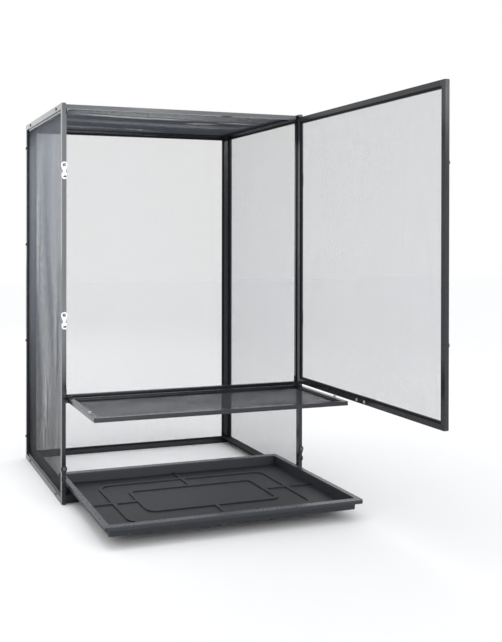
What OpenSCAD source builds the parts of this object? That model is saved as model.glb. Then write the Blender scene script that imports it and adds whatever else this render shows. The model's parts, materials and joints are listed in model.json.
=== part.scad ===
// Screen cage for reptiles: framed screen panels, a tall door, a lower flap and a sliding tray.
// X runs to the right seen from the front, the front faces -Y and Z is up, in millimetres.
// The origin is on the floor, under the middle of the front sill.
// The cage is drawn with the door open, the flap swung up and the tray pulled out.

/* [Cage] */
// Width over the two side panels
cage_w = 600; // [500:10:800]
// Depth of the side panels
cage_d = 450; // [400:10:600]
// Height of the side panels
cage_h = 900; // [800:10:1200]
// Step from the top of the side panels down to the top panel
top_drop = 2; // [1:1:8]

/* [Frame profile] */
// Face width of the fixed panels' profile
frame_w = 18.5; // [17:0.5:24]
// Face width of the door's and the flap's profile
leaf_frame_w = 16; // [15:0.5:20]
// Thickness of the profiles
frame_t = 9; // [9:0.5:12]
// Wall of the profiles
wall_t = 1.2; // [1:0.1:1.4]
// Width of the groove that holds the rubber spline
groove_w = 3.5; // [3:0.25:4.5]
// Width of the lip between the groove and the opening
lip_w = 1.5; // [1:0.25:2]
// Height of the lip over the outer face
lip_h = 6; // [5.5:0.25:7]
// Step from the outer face back to the flange that carries groove and lip
flange_step = 3.4; // [2:0.2:3.8]
// Web under the groove
web_t = 1; // [0.8:0.1:1.4]
// Thickness of the screen cloth
screen_t = 0.3; // [0.2:0.1:0.6]
// Openings along a screen's longer side, a coarse stand-in for the fine weave
screen_cells = 12; // [6:1:12]
// Width of the screen's strands between its openings
strand_w = 5; // [4:0.5:8]
// How far the spline stands above the lip
spline_rise = 1; // [0.5:0.25:1.5]
// Length of the corner block's tongues
tongue_l = 14; // [10:1:20]
// Bevel at the corner block's outer corner
corner_cut = 1.5; // [0.5:0.5:3]

/* [Door and flap] */
// Height of the flap's hinge axis
flap_axis_z = 242; // [200:2:300]
// Gap between the door and the posts
side_gap = 2.5; // [2:0.5:5]
// Gap between the flap and the posts
flap_gap = 3.5; // [3:0.5:5]
// Step from the top of the side panels down to the door
door_drop = 9.5; // [8:0.5:12]
// Gap between the door's lower edge and the flap's upper edge
door_flap_gap = 3; // [2.5:0.5:5]
// Height of the flap's lower edge when it is shut
flap_foot_z = 6; // [4:0.5:12]
// Distance of the hinge axes in front of the posts
axis_out = 3; // [3:0.25:4]
// Distance of the door's hinge axis past the post's inner face
axis_in = 3; // [2.75:0.25:4]
// Outer radius of the hinge knuckles
knuckle_r = 2.4; // [2.2:0.1:2.6]
// Diameter of the hinge pins
pin_d = 2.4; // [1.8:0.2:2.6]
// Length of a door hinge
hinge_l = 30; // [24:1:50]
// Thickness of the hinge leaves
leaf_t = 1.2; // [1:0.1:1.4]
// Width of a moving hinge leaf on the door or flap
leaf_w = 10; // [8:1:12]

/* [Latches] */
// Height of the lower door stud
stud_z = 402; // [360:2:440]
// Height of the cage's top above the upper door stud
stud_drop = 162; // [120:2:200]
// Height of the flap studs when the flap is shut
flap_stud_z = 58; // [50:1:90]
// Distance of a stud from the door's edge
stud_inset = 5.5; // [5:0.25:6.5]
// How far a latch's pivot lies above its stud
latch_drop = 23; // [20:1:30]
// Thickness of a latch
latch_t = 1.5; // [1:0.1:2]
// Gap between a post and its latches
latch_gap = 0.8; // [0.7:0.1:1.2]
// Radius of a latch's eye
latch_eye_r = 7; // [6:0.2:8]
// Width of a latch at its waist
latch_waist_w = 5; // [4.5:0.5:7]
// Width of a latch at its foot
latch_foot_w = 11.5; // [11:0.5:15]
// Diameter of the pivot screws and of the studs' necks
neck_d = 4; // [3:0.5:4.5]
// Diameter of the studs' heads and of the pivot screws' heads
head_d = 7.6; // [6:0.2:8]
// Height of the studs' heads
stud_head_h = 2; // [1.2:0.2:2]

/* [Tray] */
// Width over the tray's rim
tray_w = 567; // [440:1:570]
// Length over the tray's rim
tray_l = 424; // [300:1:424]
// Height of the tray
tray_h = 24; // [18:1:30]
// How far the tray is pulled out
tray_pull = 324; // [100:1:330]
// Overhang of the rim at the sides
rim_side = 9; // [7:0.5:12]
// Overhang of the rim at the front and the back
rim_end = 14; // [8:0.5:16]
// Height of the rim's skirt
skirt_h = 8; // [5:1:12]
// Thickness of the tray's walls and rim
tray_t = 2.4; // [1.8:0.1:3]
// Slope of the walls, as the amount that the floor is smaller on each side
tray_draft = 3; // [1:0.5:5]
// Width of the ridges moulded in the floor
ridge_w = 9; // [7:0.5:12]
// Height of the ridges
ridge_h = 2.4; // [1.5:0.1:4]

/* [Sill and runners] */
// Reach of the tray runners from the side panels
runner_w = 22; // [22:1:34]
// Thickness of the runners' sheet
runner_t = 1.5; // [1:0.1:2]
// Depth that the sill and the cross rail stand behind the door
stop_gap = 1; // [0.6:0.1:2]
// Thickness of the stop strips beside the door
stop_t = 3.4; // [3.2:0.2:6]
// Depth of the stop strips
stop_d = 8; // [6:0.5:9]

/* [Hidden] */
// Clearances and overruns
overrun = 1;
fit = 0.2;
run_fit = 0.05;
seat = 0.4;
slide_gap = 0.3;
end_gap = 1;

// Profile
flange_w = groove_w + lip_w;
web_top = flange_step + web_t;
chamber_t = frame_t - 2 * wall_t;

// Main places
half_w = cage_w / 2;
inner_half = half_w - frame_t;
post_x = half_w - frame_t / 2;
sill_front_y = -frame_t / 2;
front_y = sill_front_y - frame_t - stop_gap;
back_y = front_y + cage_d;
back_h = cage_h - top_drop;
inner_w = 2 * (inner_half - fit);
top_d = back_y - frame_t - fit - sill_front_y;
top_under_z = back_h - frame_t;

// Door and flap
door_half = inner_half - side_gap;
door_w = 2 * door_half;
flap_half = inner_half - flap_gap;
flap_w = 2 * flap_half;
face_y = front_y - seat;
axis_y = front_y - axis_out;
door_axis_x = inner_half + axis_in;
door_foot_z = flap_axis_z + knuckle_r + latch_gap;
door_h = cage_h - door_drop - door_foot_z;
flap_h = door_foot_z - door_flap_gap - flap_foot_z;
door_angle = 90;
flap_angle = -90;
cross_top_z = door_foot_z - end_gap;
pin_bore_d = pin_d + 2 * run_fit;

// Knuckles of a door hinge: two fixed ones with a moving one between them
knuckle_gap = 0.3;
knuckles = 3;
knuckle_l = (hinge_l - (knuckles - 1) * knuckle_gap) / knuckles;
pin_head_h = 1;

// Flap hinges: a fixed block on the post and a knuckle on the flap
flap_knuckle_l = 10;
flap_block_in = 0.5;

// Latches
stud_x = door_half - stud_inset;
stud_pitch = cage_h - stud_drop - stud_z;
latch_reach = sqrt(pow(post_x - stud_x, 2) + pow(latch_drop, 2));
slot_w = neck_d + 2 * seat;
foot_share = 0.75;
foot_below = slot_w / 2 + neck_d * foot_share;
foot_above = slot_w / 2 + neck_d;
waist_share = 0.45;
shoulder_share = 0.9;
shoulder_drop_share = 0.42;
head_gap = 0.5;
head_h = 2.2;
neck_deep = 6;
dome_share = 0.62;

// Screws through the side panels
screw_d = 3.4;
screw_head_d = 7;
screw_head_h = 1.9;
screw_bite = 6;
screw_l = frame_t + screw_bite;
back_screws = 4;
back_screw_foot = 60;
back_screw_pitch = (back_h - back_screw_foot * 2) / (back_screws - 1);
side_screw_inset = 65;
runner_screw_z = 8;

// Sill, cross rail and stops
plug_t = 2;
cap_l = 14;
cap_fit = 0.6;

// Door pull
pull_l = 40;
pull_out = 15;
pull_t = 4;
pull_h = 10;
pull_foot_l = 10;
pull_screw_pitch = 30;
door_box_w = leaf_frame_w - flange_w;

// Tray
tray_floor_z = frame_w + slide_gap;
tray_home_y = 0;
rim_r = 6;
wall_r = 9;
wall_w = tray_w - 2 * rim_side;
wall_l = tray_l - 2 * rim_end;
floor_w = wall_w - 2 * tray_draft;
floor_l = wall_l - 2 * tray_draft;
outer_ridge_shares = [0.78, 0.73];
inner_ridge_shares = [0.57, 0.42];
ridge_r = 34;
inner_ridge_r = 22;

frame_colour = [0.24, 0.25, 0.27];
block_colour = [0.09, 0.09, 0.1];
bright_colour = [0.86, 0.87, 0.89];
screw_colour = [0.45, 0.46, 0.48];
rubber_colour = [0.06, 0.06, 0.07];
screen_colour = [0.42, 0.44, 0.46];
screen_share = 0.4;
tray_colour = [0.15, 0.155, 0.165];

$fn = 48;

// Places of the panels, whose own X runs along the width, Y through the thickness and Z up
module at_left() {
    translate([-half_w, back_y, 0]) rotate([0, 0, -90]) children();
}

module at_right() {
    mirror([1, 0, 0]) at_left() children();
}

module at_back() {
    translate([-inner_w / 2, back_y, 0]) mirror([0, 1, 0]) children();
}

module at_top() {
    translate([-inner_w / 2, sill_front_y, back_h]) rotate([-90, 0, 0]) children();
}

module swing_door() {
    translate([door_axis_x, axis_y, 0]) rotate([0, 0, door_angle])
        translate([-door_axis_x, -axis_y, 0]) children();
}

module at_door() {
    swing_door() translate([-door_half, face_y, door_foot_z]) children();
}

module swing_flap() {
    translate([0, axis_y, flap_axis_z]) rotate([flap_angle, 0, 0])
        translate([0, -axis_y, -flap_axis_z]) children();
}

module at_flap() {
    swing_flap() translate([-flap_half, face_y, flap_foot_z]) children();
}

module both_sides() {
    children();
    mirror([1, 0, 0]) children();
}

// Flat outline in X and Z, drawn through the thickness from Y = 0
module through(thickness) {
    translate([0, thickness, 0]) rotate([90, 0, 0]) linear_extrude(thickness) children();
}

// Frame profile: a hollow box, then a thinner flange with a groove for the spline and a lip
module profile(w) {
    box_w = w - flange_w;
    difference() {
        polygon([
            [0, 0], [box_w, 0], [box_w, flange_step], [w, flange_step],
            [w, lip_h], [w - lip_w, lip_h], [w - lip_w, web_top],
            [box_w, web_top], [box_w, frame_t], [0, frame_t]
        ]);
        translate([wall_t, wall_t]) square([box_w - 2 * wall_t, chamber_t]);
    }
}

module stile(panel_h, w) {
    translate([0, 0, w]) linear_extrude(panel_h - 2 * w) profile(w);
}

module far_stile(panel_w, panel_h, w) {
    translate([panel_w, 0, 0]) mirror([1, 0, 0]) stile(panel_h, w);
}

module low_rail(panel_w, w) {
    translate([panel_w, 0, 0]) rotate([0, -90, 0]) stile(panel_w, w);
}

module high_rail(panel_w, panel_h, w) {
    translate([0, 0, panel_h]) mirror([0, 0, 1]) low_rail(panel_w, w);
}

// Moulded corner block with a tongue for the stile and one for the rail
module corner_outline(w) {
    polygon([[corner_cut, 0], [w, 0], [w, w], [0, w], [0, corner_cut]]);
}

module tongue(w) {
    translate([wall_t + fit, wall_t + fit, w - overrun])
        cube([w - flange_w - 2 * (wall_t + fit), chamber_t - 2 * fit, tongue_l + overrun]);
}

module corner_block(w) {
    box_w = w - flange_w;
    difference() {
        union() {
            through(frame_t) corner_outline(w);
            tongue(w);
            mirror([1, 0, -1]) tongue(w);
        }
        translate([box_w, web_top, box_w]) cube([w, frame_t, w]);
        translate([box_w, flange_step - frame_t, box_w]) cube([w, frame_t, w]);
    }
}

module four_blocks(panel_w, panel_h, w) {
    for (side = [0, 1], end = [0, 1])
        translate([side * panel_w, 0, end * panel_h])
            mirror([side, 0, 0]) mirror([0, 0, end]) corner_block(w);
}

module inset_square(panel_w, panel_h, inset) {
    translate([inset, inset]) square([panel_w - 2 * inset, panel_h - 2 * inset]);
}

module spline_ring(panel_w, panel_h, w) {
    translate([0, web_top + fit, 0]) through(lip_h + spline_rise - web_top - fit) difference() {
        inset_square(panel_w, panel_h, w - flange_w + fit);
        inset_square(panel_w, panel_h, w - lip_w - fit);
    }
}

// Screen cloth on the lips, with a plain grid of openings for its weave
module screen_sheet(panel_w, panel_h, w) {
    edge = w - lip_w;
    run_w = panel_w - 2 * edge - strand_w;
    run_h = panel_h - 2 * edge - strand_w;
    columns = round(screen_cells * run_w / max(run_w, run_h));
    rows = round(screen_cells * run_h / max(run_w, run_h));
    cell_w = run_w / columns;
    cell_h = run_h / rows;
    translate([0, lip_h, 0]) through(screen_t) difference() {
        inset_square(panel_w, panel_h, edge);
        for (i = [0 : columns - 1], j = [0 : rows - 1])
            translate([edge + strand_w + i * cell_w, edge + strand_w + j * cell_h])
                square([cell_w - strand_w, cell_h - strand_w]);
    }
}

// Screws that hold the back panel, the top panel and the runners between the side panels
module side_screw_places() {
    for (i = [0 : back_screws - 1])
        translate([-half_w, back_y - frame_t / 2, back_screw_foot + i * back_screw_pitch]) children();
    for (y = [front_y + side_screw_inset, back_y - side_screw_inset]) {
        translate([-half_w, y, back_h - frame_t / 2]) children();
        translate([-half_w, y, runner_screw_z]) children();
    }
}

module pan_head(d, h) {
    cylinder(d = d, h = h * dome_share);
    translate([0, 0, h * dome_share]) cylinder(d1 = d, d2 = d * dome_share, h = h * (1 - dome_share));
}

module side_screw_holes() {
    side_screw_places() rotate([0, 90, 0]) translate([0, 0, -overrun])
        cylinder(d = screw_d + 2 * fit, h = screw_l + 2 * overrun);
}

module drilled() {
    difference() {
        children();
        side_screw_holes();
    }
}

module frame_screws() {
    color(screw_colour) both_sides() side_screw_places() rotate([0, 90, 0]) {
        cylinder(d = screw_d, h = screw_l);
        rotate([0, 180, 0]) pan_head(screw_head_d, screw_head_h);
    }
}

// Latch pivots on the posts, and their screws
module door_latch_places() {
    for (i = [0, 1]) translate([-post_x, front_y, stud_z + i * stud_pitch + latch_drop]) children();
}

module flap_latch_place() {
    translate([-post_x, front_y, flap_stud_z + latch_drop]) children();
}

module latch_holes() {
    rotate([90, 0, 0]) translate([0, 0, -neck_deep - overrun])
        cylinder(d = neck_d + 2 * fit, h = neck_deep + 2 * overrun);
}

module latch_screw() {
    neck_out = latch_gap + latch_t + head_gap;
    rotate([90, 0, 0]) {
        translate([0, 0, -neck_deep]) cylinder(d = neck_d, h = neck_deep + neck_out);
        translate([0, 0, neck_out]) pan_head(head_d, head_h);
    }
}

module latch_screws() {
    color(screw_colour) {
        door_latch_places() latch_screw();
        both_sides() flap_latch_place() latch_screw();
    }
}

// Side panels
module left_front_post() {
    color(frame_colour) difference() {
        at_left() far_stile(cage_d, cage_h, frame_w);
        door_latch_places() latch_holes();
        flap_latch_place() latch_holes();
    }
}

module left_rear_post() {
    color(frame_colour) drilled() at_left() stile(cage_h, frame_w);
}

module left_top_rail() {
    color(frame_colour) drilled() at_left() high_rail(cage_d, cage_h, frame_w);
}

module left_bottom_rail() {
    color(frame_colour) drilled() at_left() low_rail(cage_d, frame_w);
}

module right_front_post() {
    color(frame_colour) difference() {
        at_right() far_stile(cage_d, cage_h, frame_w);
        mirror([1, 0, 0]) flap_latch_place() latch_holes();
    }
}

module right_rear_post() {
    mirror([1, 0, 0]) left_rear_post();
}

module right_top_rail() {
    mirror([1, 0, 0]) left_top_rail();
}

module right_bottom_rail() {
    mirror([1, 0, 0]) left_bottom_rail();
}

module left_screen() {
    color(screen_colour, screen_share) at_left() screen_sheet(cage_d, cage_h, frame_w);
}

module right_screen() {
    color(screen_colour, screen_share) at_right() screen_sheet(cage_d, cage_h, frame_w);
}

module left_spline() {
    color(rubber_colour) at_left() spline_ring(cage_d, cage_h, frame_w);
}

module right_spline() {
    color(rubber_colour) at_right() spline_ring(cage_d, cage_h, frame_w);
}

// Back panel
module back_left_stile() {
    color(frame_colour) drilled() at_back() stile(back_h, frame_w);
}

module back_right_stile() {
    mirror([1, 0, 0]) back_left_stile();
}

module back_top_rail() {
    color(frame_colour) at_back() high_rail(inner_w, back_h, frame_w);
}

module back_bottom_rail() {
    color(frame_colour) at_back() low_rail(inner_w, frame_w);
}

module back_screen() {
    color(screen_colour, screen_share) at_back() screen_sheet(inner_w, back_h, frame_w);
}

module back_spline() {
    color(rubber_colour) at_back() spline_ring(inner_w, back_h, frame_w);
}

// Top panel
module top_left_rail() {
    color(frame_colour) drilled() at_top() stile(top_d, frame_w);
}

module top_right_rail() {
    mirror([1, 0, 0]) top_left_rail();
}

module top_front_rail() {
    color(frame_colour) at_top() low_rail(inner_w, frame_w);
}

module top_rear_rail() {
    color(frame_colour) at_top() high_rail(inner_w, top_d, frame_w);
}

module top_screen() {
    color(screen_colour, screen_share) at_top() screen_sheet(inner_w, top_d, frame_w);
}

module top_spline() {
    color(rubber_colour) at_top() spline_ring(inner_w, top_d, frame_w);
}

// Corner blocks of the four fixed panels
module corner_blocks() {
    color(block_colour) {
        both_sides() at_left() four_blocks(cage_d, cage_h, frame_w);
        at_back() four_blocks(inner_w, back_h, frame_w);
        at_top() four_blocks(inner_w, top_d, frame_w);
    }
}

// Sill and cross rail: plain tubes between the posts, closed by moulded end plugs
module tube_rail(foot_z) {
    tube_l = 2 * (inner_half - plug_t);
    translate([-tube_l / 2, 0, foot_z]) rotate([90, 0, 90]) linear_extrude(tube_l) difference() {
        translate([sill_front_y, 0]) square([frame_t, frame_w]);
        translate([sill_front_y + wall_t, wall_t]) square([chamber_t, frame_w - 2 * wall_t]);
    }
}

module end_plug(foot_z) {
    translate([-inner_half, sill_front_y, foot_z]) {
        cube([plug_t, frame_t, frame_w]);
        translate([0, wall_t + fit, wall_t + fit])
            cube([plug_t + tongue_l, chamber_t - 2 * fit, frame_w - 2 * (wall_t + fit)]);
    }
}

module front_sill() {
    color(frame_colour) tube_rail(0);
}

module cross_rail() {
    color(frame_colour) tube_rail(cross_top_z - frame_w);
}

module rail_end_plugs() {
    color(block_colour) both_sides() {
        end_plug(0);
        end_plug(cross_top_z - frame_w);
    }
}

// Angle strips that carry the tray
module tray_runners() {
    runner_l = back_y - frame_t - 2 * end_gap + sill_front_y;
    color(block_colour) both_sides() difference() {
        translate([-inner_half, runner_l - sill_front_y + end_gap, 0]) rotate([90, 0, 0])
            linear_extrude(runner_l) {
                translate([0, end_gap]) square([runner_t, frame_w - end_gap]);
                translate([0, frame_w - runner_t]) square([runner_w, runner_t]);
            }
        side_screw_holes();
    }
}

// Stop strips on the posts behind the door, with moulded caps at their ends
module door_stops() {
    stop_l = top_under_z - cross_top_z - 2 * cap_l;
    color(frame_colour) both_sides() translate([-inner_half, sill_front_y, cross_top_z + cap_l])
        cube([stop_t, stop_d, stop_l]);
}

module stop_end_caps() {
    color(block_colour) both_sides() for (z = [cross_top_z, top_under_z - cap_l])
        translate([-inner_half, sill_front_y, z]) cube([stop_t + cap_fit, stop_d + cap_fit, cap_l]);
}

// Door hinges: a leaf on the post, a leaf on the door and a pin through their knuckles
module door_hinge_places() {
    for (i = [0, 1]) translate([door_axis_x, axis_y, stud_z + i * stud_pitch]) children();
}

module knuckle(length) {
    difference() {
        union() {
            cylinder(r = knuckle_r, h = length, center = true);
            children();
        }
        cylinder(d = pin_bore_d, h = length + 2 * overrun, center = true);
    }
}

module post_hinge_leaves() {
    plate_w = half_w - door_axis_x - seat;
    color(block_colour) door_hinge_places() {
        for (side = [-1, 1]) translate([0, 0, side * (knuckle_l + knuckle_gap)]) knuckle(knuckle_l)
            translate([0, axis_out - leaf_t, -knuckle_l / 2]) cube([plate_w, leaf_t, knuckle_l]);
        translate([knuckle_r + knuckle_gap, axis_out - leaf_t, -hinge_l / 2])
            cube([plate_w - knuckle_r - knuckle_gap, leaf_t, hinge_l]);
    }
}

module door_hinge_pins() {
    color(bright_colour) door_hinge_places() {
        cylinder(d = pin_d, h = hinge_l, center = true);
        for (end = [0, 1]) mirror([0, 0, end]) translate([0, 0, hinge_l / 2])
            pan_head(knuckle_r * 2 - seat, pin_head_h);
    }
}

module door_hinge_leaves() {
    reach = axis_in + side_gap;
    leaf_y = axis_out - seat - leaf_t;
    color(block_colour) swing_door() door_hinge_places() {
        knuckle(knuckle_l) translate([-reach - leaf_w, leaf_y, -knuckle_l / 2])
            cube([reach + leaf_w, leaf_t, knuckle_l]);
        translate([-reach - leaf_w, leaf_y, -hinge_l / 2])
            cube([reach + leaf_w - knuckle_r - knuckle_gap, leaf_t, hinge_l]);
    }
}

// Studs that the latches hook, and the holes for their necks
module stud() {
    neck_out = latch_gap + latch_t + head_gap - seat;
    rotate([90, 0, 0]) {
        translate([0, 0, -neck_deep]) cylinder(d = neck_d, h = neck_deep + neck_out + overrun);
        translate([0, 0, neck_out]) pan_head(head_d, stud_head_h);
    }
}

module door_stud_places() {
    for (i = [0, 1]) translate([-stud_x, face_y, stud_z + i * stud_pitch]) children();
}

module flap_stud_places() {
    for (side = [-1, 1]) translate([side * stud_x, face_y, flap_stud_z]) children();
}

// Door
module pull_screw_places() {
    for (side = [-1, 1])
        translate([side * pull_screw_pitch / 2, face_y, door_foot_z + door_box_w / 2]) children();
}

module door_hinge_stile() {
    color(frame_colour) at_door() far_stile(door_w, door_h, leaf_frame_w);
}

module door_free_stile() {
    color(frame_colour) difference() {
        at_door() stile(door_h, leaf_frame_w);
        swing_door() door_stud_places() latch_holes();
    }
}

module door_top_rail() {
    color(frame_colour) at_door() high_rail(door_w, door_h, leaf_frame_w);
}

module door_bottom_rail() {
    color(frame_colour) difference() {
        at_door() low_rail(door_w, leaf_frame_w);
        swing_door() pull_screw_places() rotate([-90, 0, 0]) translate([0, 0, -overrun])
            cylinder(d = screw_d + 2 * fit, h = frame_t + 2 * overrun);
    }
}

module door_corner_blocks() {
    color(block_colour) at_door() four_blocks(door_w, door_h, leaf_frame_w);
}

module door_screen() {
    color(screen_colour, screen_share) at_door() screen_sheet(door_w, door_h, leaf_frame_w);
}

module door_spline() {
    color(rubber_colour) at_door() spline_ring(door_w, door_h, leaf_frame_w);
}

module door_studs() {
    color(bright_colour) swing_door() door_stud_places() stud();
}

module door_pull() {
    color(block_colour) swing_door() difference() {
        translate([0, face_y, door_foot_z + (door_box_w - pull_h) / 2]) linear_extrude(pull_h) {
            translate([-pull_l / 2, -pull_out]) square([pull_l, pull_t]);
            for (side = [-1, 1]) translate([side * (pull_l - pull_foot_l) / 2 - pull_foot_l / 2, -pull_out])
                square([pull_foot_l, pull_out]);
        }
        pull_screw_places() rotate([90, 0, 0]) translate([0, 0, -overrun])
            cylinder(d = screw_d + 2 * fit, h = pull_out - pull_t + overrun);
    }
}

module door_pull_screws() {
    color(bright_colour) swing_door() pull_screw_places() translate([0, frame_t, 0]) rotate([90, 0, 0]) {
        cylinder(d = screw_d, h = frame_t + pull_out - pull_t - end_gap);
        rotate([0, 180, 0]) pan_head(screw_head_d, screw_head_h);
    }
}

// Flap
module flap_rails() {
    color(frame_colour) at_flap() {
        low_rail(flap_w, leaf_frame_w);
        high_rail(flap_w, flap_h, leaf_frame_w);
    }
}

module flap_stiles() {
    color(frame_colour) difference() {
        at_flap() {
            stile(flap_h, leaf_frame_w);
            far_stile(flap_w, flap_h, leaf_frame_w);
        }
        swing_flap() flap_stud_places() latch_holes();
    }
}

module flap_corner_blocks() {
    color(block_colour) at_flap() four_blocks(flap_w, flap_h, leaf_frame_w);
}

module flap_screen() {
    color(screen_colour, screen_share) at_flap() screen_sheet(flap_w, flap_h, leaf_frame_w);
}

// Hinge knuckle of the flap, with a leaf on the flap's outer face
module flap_knuckle() {
    leaf_y = axis_out - seat - leaf_t;
    translate([-flap_half + flap_knuckle_l / 2 + fit, axis_y, flap_axis_z]) rotate([0, 90, 0])
        knuckle(flap_knuckle_l) translate([0, leaf_y, -flap_knuckle_l / 2])
            cube([leaf_w, leaf_t, flap_knuckle_l]);
}

module flap_knuckles() {
    color(block_colour) swing_flap() both_sides() flap_knuckle();
}

module flap_spline() {
    color(rubber_colour) at_flap() spline_ring(flap_w, flap_h, leaf_frame_w);
}

module flap_studs() {
    color(bright_colour) swing_flap() flap_stud_places() stud();
}

module flap_hinge_blocks() {
    block_w = frame_t - 2 * flap_block_in;
    color(block_colour) both_sides() translate([-post_x, axis_y, flap_axis_z]) rotate([0, 90, 0])
        knuckle(block_w) translate([-knuckle_r, 0, -block_w / 2]) cube([2 * knuckle_r, axis_out, block_w]);
}

module flap_hinge_pins() {
    pin_l = half_w - flap_block_in - flap_half + flap_knuckle_l;
    color(block_colour) both_sides() translate([-half_w + flap_block_in, axis_y, flap_axis_z])
        rotate([0, 90, 0]) cylinder(d = pin_d, h = pin_l);
}

// Tray: floor with moulded ridges, sloping walls and a rim with a turned-down skirt
module round_rect(w, l, r) {
    square([w - 2 * r, l], center = true);
    square([w, l - 2 * r], center = true);
    for (x = [-1, 1], y = [-1, 1]) translate([x * (w / 2 - r), y * (l / 2 - r)]) circle(r);
}

module ring(w, l, r, t) {
    difference() {
        round_rect(w, l, r);
        round_rect(w - 2 * t, l - 2 * t, r - t);
    }
}

// Block whose four walls lean outwards from the floor, rounded at its upright edges
module leaning_wall(w, l, h, out) {
    translate([0, l / 2, 0]) rotate([90, 0, 0]) linear_extrude(l)
        polygon([[-w / 2, 0], [w / 2, 0], [w / 2 + out, h], [-w / 2 - out, h]]);
}

module sloped_block(w, l, r, h, out) {
    intersection() {
        leaning_wall(w, l + 2 * out, h, out);
        rotate([0, 0, 90]) leaning_wall(l, w + 2 * out, h, out);
        linear_extrude(h) round_rect(w + 2 * out, l + 2 * out, r);
    }
}

// Straight ridges from the inner ring out to the four walls
module ridge_bars(bar_t) {
    bar_w = (wall_w - floor_w * inner_ridge_shares[0]) / 2;
    bar_l = (wall_l - floor_l * inner_ridge_shares[1]) / 2;
    for (side = [-1, 1]) {
        translate([side * (wall_w - bar_w) / 2, 0]) square([bar_w, bar_t], center = true);
        translate([0, side * (wall_l - bar_l) / 2]) square([bar_t, bar_l], center = true);
    }
}

module ridge_lines() {
    ring(floor_w * outer_ridge_shares[0], floor_l * outer_ridge_shares[1], ridge_r, ridge_w);
    ring(floor_w * inner_ridge_shares[0], floor_l * inner_ridge_shares[1], inner_ridge_r, ridge_w);
    ridge_bars(ridge_w);
}

module tray() {
    inner_h = tray_h - tray_t;
    cut_h = inner_h + overrun;
    in_w = floor_w - 2 * tray_t;
    in_l = floor_l - 2 * tray_t;
    color(tray_colour) translate([0, tray_home_y - tray_pull + tray_l / 2, tray_floor_z]) difference() {
        union() {
            difference() {
                union() {
                    sloped_block(floor_w, floor_l, wall_r, tray_h, tray_draft);
                    translate([0, 0, inner_h]) linear_extrude(tray_t) round_rect(tray_w, tray_l, rim_r);
                    translate([0, 0, tray_h - skirt_h]) linear_extrude(skirt_h)
                        ring(tray_w, tray_l, rim_r, tray_t);
                }
                translate([0, 0, tray_t])
                    sloped_block(in_w, in_l, wall_r - tray_t, cut_h, tray_draft * cut_h / tray_h);
            }
            translate([0, 0, tray_t]) linear_extrude(ridge_h) intersection() {
                ridge_lines();
                round_rect(in_w + tray_t, in_l + tray_t, wall_r - tray_t / 2);
            }
        }
        translate([0, 0, -overrun]) linear_extrude(ridge_h + overrun) ridge_bars(ridge_w - 2 * tray_t);
    }
}

// Latches: an eye on the pivot, a waist and a foot with a curved slot that hooks the stud
module latch_outline() {
    foot_top = -(latch_reach - foot_above);
    foot_low = -(latch_reach + foot_below);
    difference() {
        union() {
            circle(latch_eye_r);
            polygon([
                [-latch_eye_r * shoulder_share, -latch_eye_r * shoulder_drop_share],
                [-latch_waist_w / 2, foot_top * waist_share - latch_eye_r],
                [-latch_foot_w / 2, foot_top],
                [-latch_foot_w / 2, -latch_reach],
                [-latch_waist_w / 2, foot_low],
                [latch_foot_w / 2 - slot_w / 4, foot_low],
                [latch_foot_w / 2, -latch_reach],
                [latch_foot_w / 2, foot_top],
                [latch_waist_w / 2, foot_top * waist_share - latch_eye_r],
                [latch_eye_r * shoulder_share, -latch_eye_r * shoulder_drop_share]
            ]);
        }
        circle(d = neck_d + 2 * run_fit);
        translate([0, -latch_reach]) circle(d = slot_w);
        intersection() {
            difference() {
                circle(latch_reach + slot_w / 2);
                circle(latch_reach - slot_w / 2);
            }
            translate([0, -2 * latch_reach]) square([latch_foot_w, 2 * latch_reach]);
        }
    }
}

module latch() {
    translate([0, -latch_gap, 0]) rotate([90, 0, 0]) linear_extrude(latch_t) latch_outline();
}

module upper_door_latch() {
    color(bright_colour) translate([-post_x, front_y, stud_z + stud_pitch + latch_drop]) latch();
}

module lower_door_latch() {
    color(bright_colour) translate([-post_x, front_y, stud_z + latch_drop]) latch();
}

module left_flap_latch() {
    color(block_colour) flap_latch_place() latch();
}

module right_flap_latch() {
    color(block_colour) mirror([1, 0, 0]) flap_latch_place() latch();
}

left_front_post();
left_rear_post();
left_top_rail();
left_bottom_rail();
right_front_post();
right_rear_post();
right_top_rail();
right_bottom_rail();
back_left_stile();
back_right_stile();
back_top_rail();
back_bottom_rail();
top_left_rail();
top_right_rail();
top_front_rail();
top_rear_rail();
corner_blocks();
left_screen();
right_screen();
back_screen();
top_screen();
left_spline();
right_spline();
back_spline();
top_spline();
front_sill();
cross_rail();
rail_end_plugs();
tray_runners();
door_stops();
stop_end_caps();
frame_screws();
latch_screws();
post_hinge_leaves();
door_hinge_pins();
flap_hinge_blocks();
flap_hinge_pins();
door_hinge_stile();
door_free_stile();
door_top_rail();
door_bottom_rail();
door_corner_blocks();
door_screen();
door_spline();
door_studs();
door_hinge_leaves();
door_pull();
door_pull_screws();
flap_rails();
flap_stiles();
flap_corner_blocks();
flap_screen();
flap_spline();
flap_studs();
flap_knuckles();
tray();
upper_door_latch();
lower_door_latch();
left_flap_latch();
right_flap_latch();
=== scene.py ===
"""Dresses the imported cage: finishes, wire screens, studio light and the view of the photo."""

import json
import math

import bmesh
import bpy
from mathutils import Matrix, Quaternion, Vector

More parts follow.
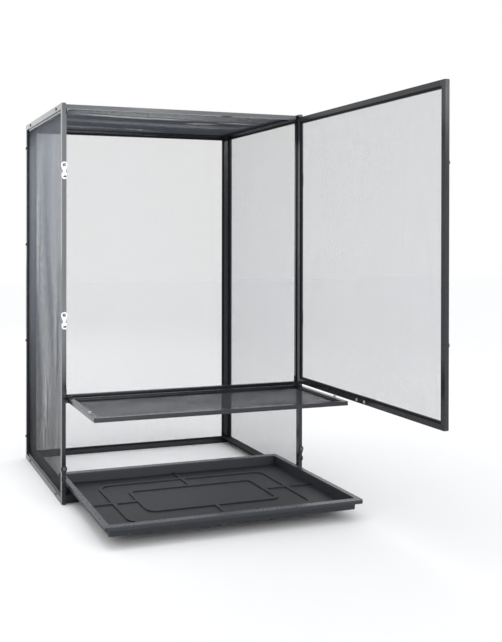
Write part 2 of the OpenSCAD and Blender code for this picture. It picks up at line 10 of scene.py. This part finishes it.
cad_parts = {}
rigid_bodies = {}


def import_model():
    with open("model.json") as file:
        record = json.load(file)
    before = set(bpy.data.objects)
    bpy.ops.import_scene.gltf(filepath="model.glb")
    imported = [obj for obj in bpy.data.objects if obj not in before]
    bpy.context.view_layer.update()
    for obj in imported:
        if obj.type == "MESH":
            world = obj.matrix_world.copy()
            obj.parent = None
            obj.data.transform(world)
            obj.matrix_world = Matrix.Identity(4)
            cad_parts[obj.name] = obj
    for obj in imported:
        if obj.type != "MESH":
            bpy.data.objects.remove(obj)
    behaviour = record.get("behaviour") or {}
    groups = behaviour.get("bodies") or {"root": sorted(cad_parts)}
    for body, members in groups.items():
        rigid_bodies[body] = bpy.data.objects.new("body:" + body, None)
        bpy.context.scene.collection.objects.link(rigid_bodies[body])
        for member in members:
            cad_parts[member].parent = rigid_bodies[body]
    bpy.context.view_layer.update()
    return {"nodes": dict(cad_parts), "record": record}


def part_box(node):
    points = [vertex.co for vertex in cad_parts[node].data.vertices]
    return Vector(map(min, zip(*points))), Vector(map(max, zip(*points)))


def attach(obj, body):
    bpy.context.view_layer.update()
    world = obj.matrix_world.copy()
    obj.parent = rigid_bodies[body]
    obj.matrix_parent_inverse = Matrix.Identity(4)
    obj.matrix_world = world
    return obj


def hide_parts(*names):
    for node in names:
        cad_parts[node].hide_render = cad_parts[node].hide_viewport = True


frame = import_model()
scene = bpy.context.scene
nodes = frame["nodes"]
slot_of = {part["node"]: part["material_slot"] for part in frame["record"]["subparts"]}


# Helpers that build a Principled shader on Object coordinates
def shader(name):
    mat = bpy.data.materials.new(name)
    mat.use_nodes = True
    tree = mat.node_tree
    tree.nodes.clear()
    out = tree.nodes.new("ShaderNodeOutputMaterial")
    bsdf = tree.nodes.new("ShaderNodeBsdfPrincipled")
    coord = tree.nodes.new("ShaderNodeTexCoord")
    tree.links.new(bsdf.outputs["BSDF"], out.inputs["Surface"])
    return mat, tree, bsdf, coord.outputs["Object"]


def stretched(tree, vec, scale):
    node = tree.nodes.new("ShaderNodeMapping")
    node.inputs["Scale"].default_value = scale
    tree.links.new(vec, node.inputs["Vector"])
    return node.outputs["Vector"]


def noise(tree, vec, scale, detail=3.0, rough=0.5):
    node = tree.nodes.new("ShaderNodeTexNoise")
    node.inputs["Scale"].default_value = scale
    node.inputs["Detail"].default_value = detail
    node.inputs["Roughness"].default_value = rough
    tree.links.new(vec, node.inputs["Vector"])
    return node.outputs["Fac"]


def ramp(tree, fac, stops):
    """Runs through the stops, each a place from 0 to 1 with a grey or a colour."""
    node = tree.nodes.new("ShaderNodeValToRGB")
    points = node.color_ramp.elements
    while len(points) < len(stops):
        points.new(0.5)
    for point, (place, value) in zip(points, stops):
        point.position = place
        point.color = (*value, 1.0) if isinstance(value, tuple) else (value, value, value, 1.0)
    tree.links.new(fac, node.inputs["Fac"])
    return node.outputs["Color"]


def bump(tree, bsdf, height, distance, strength):
    node = tree.nodes.new("ShaderNodeBump")
    node.inputs["Distance"].default_value = distance
    node.inputs["Strength"].default_value = strength
    tree.links.new(height, node.inputs["Height"])
    tree.links.new(node.outputs["Normal"], bsdf.inputs["Normal"])


def by_height(tree, vec, stops):
    """Grey that changes with the height above the floor; stops are (metres, value)."""
    split = tree.nodes.new("ShaderNodeSeparateXYZ")
    tree.links.new(vec, split.inputs[0])
    return ramp(tree, split.outputs["Z"], stops)


def times(tree, first, second):
    node = tree.nodes.new("ShaderNodeVectorMath")
    node.operation = "MULTIPLY"
    tree.links.new(first, node.inputs[0])
    tree.links.new(second, node.inputs[1])
    return node.outputs[0]


# Where in its noise a finish turns from its first to its second colour, or from one plain value to another
COLOUR_TURN = (0.32, 0.68)
VALUE_TURN = (0.30, 0.70)
# The bump's grain is this many times finer than the drift of the colour
FINER = 8
BUMP_STRENGTH = 0.5


def finish_of(name, dark, light, rough, grain, metallic=0.0, scale=(1, 1, 1), height=0.0, specular=0.5,
              painted_light_by_height=None, sheen=None):
    """A finish that drifts between two colours and two roughnesses, with a bump where height is given.

    Stops of by_height given for the colour scale it lighter or darker by height, as painted light and shade;
    those for sheen scale the roughness."""
    mat, tree, bsdf, vec = shader(name)
    spread = stretched(tree, vec, scale)
    drift = noise(tree, spread, grain, detail=4.0, rough=0.6)
    colour = ramp(tree, drift, list(zip(COLOUR_TURN, (dark, light))))
    gloss = ramp(tree, drift, list(zip(VALUE_TURN, rough)))
    # Painted light and shade: the colour made lighter or darker by its height above the floor
    if painted_light_by_height:
        colour = times(tree, colour, by_height(tree, vec, painted_light_by_height))
    if sheen:
        gloss = times(tree, gloss, by_height(tree, vec, sheen))
    tree.links.new(colour, bsdf.inputs["Base Color"])
    tree.links.new(gloss, bsdf.inputs["Roughness"])
    bsdf.inputs["Metallic"].default_value = metallic
    bsdf.inputs["Specular IOR Level"].default_value = specular
    if height:
        bump(tree, bsdf, noise(tree, spread, grain * FINER, detail=2.0), height, BUMP_STRENGTH)
    return mat


def wire_cloth(name, dark, light, painted_light_by_height=None):
    return finish_of(name, dark, light, rough=(0.30, 0.40), grain=90.0, metallic=1.0, painted_light_by_height=painted_light_by_height)


# Frame: dark anodised metal, its grain drawn out along the profile
DARK_METAL = ((0.010, 0.011, 0.0135), (0.016, 0.0175, 0.021))
METAL_GRAIN = 320.0
DRAWN_OUT = 0.06
ALONG = {"x": (DRAWN_OUT, 1, 1), "y": (1, DRAWN_OUT, 1), "z": (1, 1, DRAWN_OUT)}
metal = {
    axis: finish_of(f"anodised_{axis}", *DARK_METAL, rough=(0.16, 0.22), grain=METAL_GRAIN, scale=scale)
    for axis, scale in ALONG.items()
}
shaded_metal = finish_of("anodised_shaded", *DARK_METAL, rough=(0.30, 0.38), grain=METAL_GRAIN,
                         scale=ALONG["y"], specular=0.28)
corner_finish = finish_of("moulded_corner", *DARK_METAL, rough=(0.18, 0.26), grain=500.0)

# The other slots
MATT_BLACK = ((0.005, 0.005, 0.006), (0.009, 0.009, 0.010))
# Heights, in metres, between which the tray turns smoother and, as a painted highlight, lighter towards its
# rim; below them the plastic is painted darker as shade
RIM_FOOT = 0.039
RIM_TOP = 0.0424
finishes = {
    "black_plastic": finish_of("moulded_black", *MATT_BLACK, rough=(0.60, 0.72), grain=500.0, height=0.00005,
                               specular=0.25),
    "black_rubber": finish_of("spline_rubber", *MATT_BLACK, rough=(0.60, 0.75), grain=700.0, specular=0.25),
    "screw_steel": finish_of("zinc_screw", (0.10, 0.10, 0.11), (0.18, 0.18, 0.19), rough=(0.28, 0.40),
                             grain=600.0, metallic=0.9),
    "hinge_metal": finish_of("coated_hinge", (0.008, 0.008, 0.009), (0.014, 0.014, 0.016),
                             rough=(0.35, 0.45), grain=500.0, specular=0.4),
    "bright_metal": finish_of("nickel", (0.46, 0.47, 0.48), (0.58, 0.59, 0.60), rough=(0.36, 0.46),
                              grain=400.0, metallic=1.0),
    "tray_plastic": finish_of("tray_grain_painted_rim_light", (0.022, 0.027, 0.038), (0.034, 0.041, 0.055),
                              rough=(0.50, 0.58), grain=240.0, height=0.00007,
                              # Painted light: a painted highlight on the rim and painted shade on the walls
                              # and floor below it
                              painted_light_by_height=[(RIM_FOOT, 0.36), (RIM_TOP, 1.0)],
                              sheen=[(RIM_FOOT, 1.0), (RIM_TOP, 0.5)]),
    "screen_cloth": wire_cloth("wire_cloth", (0.056, 0.078, 0.118), (0.076, 0.101, 0.148)),
}

# Copies of the screen cloth painted lighter or darker where the light falls differently: painted light on the
# left screen, painted shade on the top and the flap
# The left one also darkens towards the floor as painted shade, by heights in metres and shares of its colour
LEFT_PAINTED_SHADE = [(0.10, 0.12), (0.45, 0.60), (0.80, 1.0)]
cloth_with_painted_light = {
    "left_screen": wire_cloth("wire_cloth_left_painted_light", (0.160, 0.178, 0.215), (0.200, 0.220, 0.260), LEFT_PAINTED_SHADE),
    "top_screen": wire_cloth("wire_cloth_top_painted_shade", (0.050, 0.056, 0.067), (0.070, 0.077, 0.090)),
    "flap_screen": wire_cloth("wire_cloth_flap_painted_shade", (0.034, 0.041, 0.054), (0.047, 0.054, 0.069)),
}

# Pieces whose finish is not that of their slot
OWN_FINISH = {
    "corner_blocks": corner_finish,
    "door_corner_blocks": corner_finish,
    "flap_corner_blocks": corner_finish,
    "door_top_rail": shaded_metal,
}

# Widths of the softened edges, in metres
EDGE = {"frame_metal": 0.0004, "black_plastic": 0.0005, "tray_plastic": 0.0011, "black_rubber": 0.0006}
EDGE_STEPS = 2
EDGE_ANGLE = math.radians(40)


def longest_axis(node):
    low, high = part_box(node)
    sides = [high[i] - low[i] for i in range(3)]
    return "xyz"[sides.index(max(sides))]


def finish_for(node):
    if node in OWN_FINISH:
        return OWN_FINISH[node]
    if slot_of[node] == "frame_metal":
        return metal[longest_axis(node)]
    return finishes[slot_of[node]]


def dress(obj, mat):
    obj.data.materials.clear()
    obj.data.materials.append(mat)


def soften(obj, width):
    edge = obj.modifiers.new("soft_edge", "BEVEL")
    edge.width = width
    edge.segments = EDGE_STEPS
    edge.limit_method = "ANGLE"
    edge.angle_limit = EDGE_ANGLE
    edge.use_clamp_overlap = True


for node, obj in nodes.items():
    dress(obj, finish_for(node))
    if slot_of[node] in EDGE:
        soften(obj, EDGE[slot_of[node]])


# Screens: two rows of crossing wires in place of each sheet, slack in the left side, the top and the flap
SCREENS = {
    "left_screen": "cage",
    "right_screen": "cage",
    "back_screen": "cage",
    "top_screen": "cage",
    "door_screen": "door",
    "flap_screen": "flap",
}
WIRE = 0.00023
PITCH = 0.0016
TAUT_SIDES = 6
TAUT_STEPS = 1
SLACK_SIDES = 4
SLACK_STEPS = 18
# A slack wire has fewer sides, which fill less of its round, so it is drawn thicker, by what its tone needs
THICKER = {"left_screen": 1.25, "top_screen": 1.12, "flap_screen": 1.30}
# Waves of slack: depth in metres, waves along the first side, their bend, waves along the second side
SLACK = {
    "left_screen": (0.0010, 2.3, 0.40, 1.1),
    "top_screen": (0.0016, 0.45, 0.30, 2.6),
    "flap_screen": (0.0009, 1.6, 0.25, 0.8),
}
# How the waves lie: their lean, the turns and start of their bend, and a weaker set that crosses them
FULL_TURN = 2 * math.pi
WAVE_LEAN = 0.35
BEND_TURNS = 0.8
BEND_START = 0.6
CROSS_SHARE = 0.45
CROSS_LEAN = 0.6
CROSS_START = 1.3
# Creases: start and end along the screen's two sides, half width and height, all in metres
CREASES = {
    "left_screen": [
        ((0.197, 0.250), (0.174, 0.170), 0.012, 0.0012),
        ((0.174, 0.190), (0.225, 0.095), 0.012, 0.0012),
        ((0.068, 0.560), (0.082, 0.220), 0.020, 0.0015),
        ((0.285, 0.740), (0.287, 0.420), 0.016, 0.0010),
    ],
    "top_screen": [
        ((-0.230, 0.086), (-0.050, 0.116), 0.009, 0.0016),
        ((-0.130, 0.104), (0.060, 0.110), 0.008, 0.0014),
        ((0.070, 0.174), (0.140, 0.170), 0.008, 0.0020),
        ((0.130, 0.129), (0.255, 0.147), 0.008, 0.0014),
        ((-0.040, 0.330), (0.095, 0.412), 0.014, 0.0026),
    ],
}


def wave(slack, u, v):
    """Depth of slack cloth at shares u and v of its sides, none along the frame."""
    amount, along_u, bend, along_v = slack
    held = math.sqrt(max(0.0, math.sin(math.pi * u) * math.sin(math.pi * v)))
    bent = bend * math.sin(FULL_TURN * BEND_TURNS * v + BEND_START)
    main = math.sin(FULL_TURN * (along_u * u + along_v * v * WAVE_LEAN + bent))
    cross = math.sin(FULL_TURN * (along_v * v - CROSS_LEAN * along_u * u) + CROSS_START)
    return amount * held * (main + CROSS_SHARE * cross)


def crease_height(crease, place):
    """Height of a soft ridge that fades at both of its ends."""
    start, end, half, height = crease
    run = Vector(end) - Vector(start)
    off = place - Vector(start)
    share = off.dot(run) / run.length_squared
    if not 0.0 < share < 1.0:
        return 0.0
    return height * math.sin(math.pi * share) * math.exp(-((off - run * share).length / half) ** 2)


def lies_along_first(crease):
    start, end = crease[:2]
    return abs(end[0] - start[0]) > abs(end[1] - start[1])


def axis_vector(axis, length):
    vector = Vector((0.0, 0.0, 0.0))
    vector[axis] = length
    return vector


def row_of_wires(low, high, run, across, depth, level, wire, sides, steps):
    """A bmesh of wires: one wire's end is copied along the row, then all the ends are drawn out.

    run, across and depth are axes, and level is the row's place along depth."""
    count = int((high[across] - low[across]) / PITCH)
    start = Vector(low)
    start[across] = (low[across] + high[across] - (count - 1) * PITCH) / 2
    start[depth] = level
    facing = Matrix((axis_vector(across, 1.0), axis_vector(depth, 1.0), axis_vector(run, 1.0))).transposed()
    flat_side_out = Matrix.Rotation(math.pi / sides - math.pi / 2, 4, "Z")
    straight = {"cent": (0, 0, 0), "axis": (0, 0, 1), "angle": 0.0}
    row = bmesh.new()
    bmesh.ops.create_circle(row, cap_ends=True, segments=sides, radius=wire / 2,
                            matrix=Matrix.Translation(start) @ facing.to_4x4() @ flat_side_out)
    bmesh.ops.spin(row, geom=row.faces[:], steps=count - 1, dvec=axis_vector(across, PITCH),
                   use_duplicate=True, **straight)
    bmesh.ops.spin(row, geom=row.faces[:], steps=steps,
                   dvec=axis_vector(run, (high[run] - low[run]) / steps), **straight)
    bmesh.ops.recalc_face_normals(row, faces=row.faces)
    for face in row.faces:
        face.smooth = True
    return row


def slacken(row, low, high, first, second, depth, slack, creases):
    """Moves a row of wires out of the flat by its waves and by the given creases."""
    for vert in row.verts:
        place = Vector((vert.co[first], vert.co[second]))
        u = (place.x - low[first]) / (high[first] - low[first])
        v = (place.y - low[second]) / (high[second] - low[second])
        vert.co[depth] += wave(slack, u, v) + sum(crease_height(crease, place) for crease in creases)


def piece_from(bm, name):
    mesh = bpy.data.meshes.new(name)
    bm.to_mesh(mesh)
    bm.free()
    obj = bpy.data.objects.new(name, mesh)
    scene.collection.objects.link(obj)
    return obj


def wire_screen(node, body):
    """Two rows of wires, one on the other, each creased only where a crease lies along its wires."""
    low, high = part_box(node)
    spans = [high[i] - low[i] for i in range(3)]
    depth = spans.index(min(spans))
    first, second = [i for i in range(3) if i != depth]
    middle = (low[depth] + high[depth]) / 2
    wire = WIRE * THICKER.get(node, 1.0)
    sides, steps = (SLACK_SIDES, SLACK_STEPS) if node in SLACK else (TAUT_SIDES, TAUT_STEPS)
    screen = bmesh.new()
    one_row = bpy.data.meshes.new("one_row")
    for run, across, level in ((first, second, middle - wire / 2), (second, first, middle + wire / 2)):
        row = row_of_wires(low, high, run, across, depth, level, wire, sides, steps)
        if node in SLACK:
            along = [crease for crease in CREASES.get(node, []) if lies_along_first(crease) == (run == first)]
            slacken(row, low, high, first, second, depth, SLACK[node], along)
        row.to_mesh(one_row)
        row.free()
        screen.from_mesh(one_row)
    bpy.data.meshes.remove(one_row)
    obj = piece_from(screen, f"{node}_wires")
    # The left, top and flap screens take the copies of the cloth with painted light and shade
    dress(obj, cloth_with_painted_light.get(node, finishes["screen_cloth"]))
    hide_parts(node)
    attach(obj, body)


for node, body in SCREENS.items():
    wire_screen(node, body)


# Floor: a wide sheet just below the cage, in metres
FLOOR_HALF = 9.0
FLOOR_LEVEL = -0.0004
# Grey of the paper by its distance from the middle: painted light makes it a shade lighter round the cage,
# where its shadows fall, and it is greyer far behind it
PAPER_WITH_PAINTED_LIGHT = [(1.2, 0.99), (3.2, 0.925)]
PAPER_ROUGH = 0.85
PAPER_SPECULAR = 0.1
FIBRE = (0.995, 1.0)
FIBRE_SCALE = 3.0


def pale_floor():
    mat, tree, bsdf, vec = shader("pale_floor")
    away = tree.nodes.new("ShaderNodeVectorMath")
    away.operation = "LENGTH"
    tree.links.new(stretched(tree, vec, (1 / FLOOR_HALF,) * 3), away.inputs[0])
    # Painted light: the paper painted lighter round the cage to lift the shadows that fall there
    paper_with_painted_light = ramp(tree, away.outputs["Value"], [(metres / FLOOR_HALF, grey) for metres, grey in PAPER_WITH_PAINTED_LIGHT])
    fibre = ramp(tree, noise(tree, vec, FIBRE_SCALE), list(zip(VALUE_TURN, FIBRE)))
    tree.links.new(times(tree, paper_with_painted_light, fibre), bsdf.inputs["Base Color"])
    bsdf.inputs["Roughness"].default_value = PAPER_ROUGH
    bsdf.inputs["Specular IOR Level"].default_value = PAPER_SPECULAR
    return mat


sheet = bmesh.new()
bmesh.ops.create_grid(sheet, x_segments=1, y_segments=1, size=FLOOR_HALF,
                      matrix=Matrix.Translation((0, 0, FLOOR_LEVEL)))
floor = piece_from(sheet, "floor")
dress(floor, pale_floor())


# Sky: plain white where it is seen, also in metal, and a soft light on everything
SKY_COLOUR = (0.985, 0.99, 1, 1)
SKY_STRENGTH = 1.08


def studio_sky():
    world = bpy.data.worlds.new("studio")
    world.use_nodes = True
    tree = world.node_tree
    tree.nodes.clear()
    out = tree.nodes.new("ShaderNodeOutputWorld")
    seen = tree.nodes.new("ShaderNodeBackground")
    seen.inputs["Color"].default_value = (1, 1, 1, 1)
    lit = tree.nodes.new("ShaderNodeBackground")
    lit.inputs["Color"].default_value = SKY_COLOUR
    lit.inputs["Strength"].default_value = SKY_STRENGTH
    path = tree.nodes.new("ShaderNodeLightPath")
    is_seen = path.outputs["Is Camera Ray"]
    for kind in ("Is Glossy Ray", "Is Transmission Ray"):
        either = tree.nodes.new("ShaderNodeMath")
        either.operation = "MAXIMUM"
        tree.links.new(is_seen, either.inputs[0])
        tree.links.new(path.outputs[kind], either.inputs[1])
        is_seen = either.outputs[0]
    mix = tree.nodes.new("ShaderNodeMixShader")
    tree.links.new(is_seen, mix.inputs["Fac"])
    tree.links.new(lit.outputs[0], mix.inputs[1])
    tree.links.new(seen.outputs[0], mix.inputs[2])
    tree.links.new(mix.outputs[0], out.inputs["Surface"])
    return world


scene.world = studio_sky()


# Lamps: the three boxes in front leave out the floor, which would glare below them in other views
LAMP_COLOUR = (0.90, 0.95, 1.0)
off_the_floor = bpy.data.collections.new("off_the_floor")
for obj in scene.objects:
    if obj.type == "MESH" and obj != floor:
        off_the_floor.objects.link(obj)


def lamp(name, place, aim, width, height, power, spread=180, lights=None):
    """A soft box of so many watts, spread in degrees, on everything or only on the collection lights."""
    data = bpy.data.lights.new(name, "AREA")
    data.shape = "RECTANGLE"
    data.size = width
    data.size_y = height
    data.energy = power
    data.color = LAMP_COLOUR
    data.spread = math.radians(spread)
    obj = bpy.data.objects.new(name, data)
    obj.location = place
    obj.rotation_euler = (Vector(aim) - Vector(place)).to_track_quat("-Z", "Y").to_euler()
    obj.light_linking.receiver_collection = lights
    scene.collection.objects.link(obj)


lamp("front_box", place=(0.42, -2.9, 0.84), aim=(-0.2, 0, 0.6), width=0.95, height=1.3, power=20,
     lights=off_the_floor)
lamp("upper_box", place=(1.40, -2.9, 1.38), aim=(0.1, 0, 0.9), width=1.2, height=0.5, power=9,
     lights=off_the_floor)
lamp("low_box", place=(0.104, -1.75, 0.18), aim=(-0.29, 0, 0.34), width=0.34, height=0.32, power=1.75,
     lights=off_the_floor)
lamp("rear_left", place=(-1.0, 3.3, 1.4), aim=(-0.3, 0.2, 0.7), width=2.0, height=2.0, power=9)
lamp("left_top", place=(-0.75, 0.05, 1.5), aim=(-0.70, 0.05, 0), width=0.6, height=1.4, power=1.1, spread=50)


# Camera at the photo's place, found by fitting the cage's edges
EYE = (-0.7331, -1.9724, 0.6037)
YAW = math.radians(19.186)
LOOK_UP = math.radians(-0.276)
ROLL = math.radians(-0.067)
SENSOR = 36.0
LENS = 50.02
SHIFT_X = 0.1308
SHIFT_Y = -0.1268


def photo_camera():
    view = bpy.data.cameras.new("photo_view")
    view.sensor_width = SENSOR
    view.lens = LENS
    view.shift_x = SHIFT_X
    view.shift_y = SHIFT_Y
    camera = bpy.data.objects.new("photo_view", view)
    camera.location = EYE
    level = math.cos(LOOK_UP)
    ahead = Vector((math.sin(YAW) * level, math.cos(YAW) * level, math.sin(LOOK_UP)))
    turned = ahead.to_track_quat("-Z", "Y") @ Quaternion((0, 0, 1), -ROLL)
    camera.rotation_euler = turned.to_euler()
    scene.collection.objects.link(camera)
    return camera


scene.camera = photo_camera()
scene.view_settings.view_transform = "Standard"
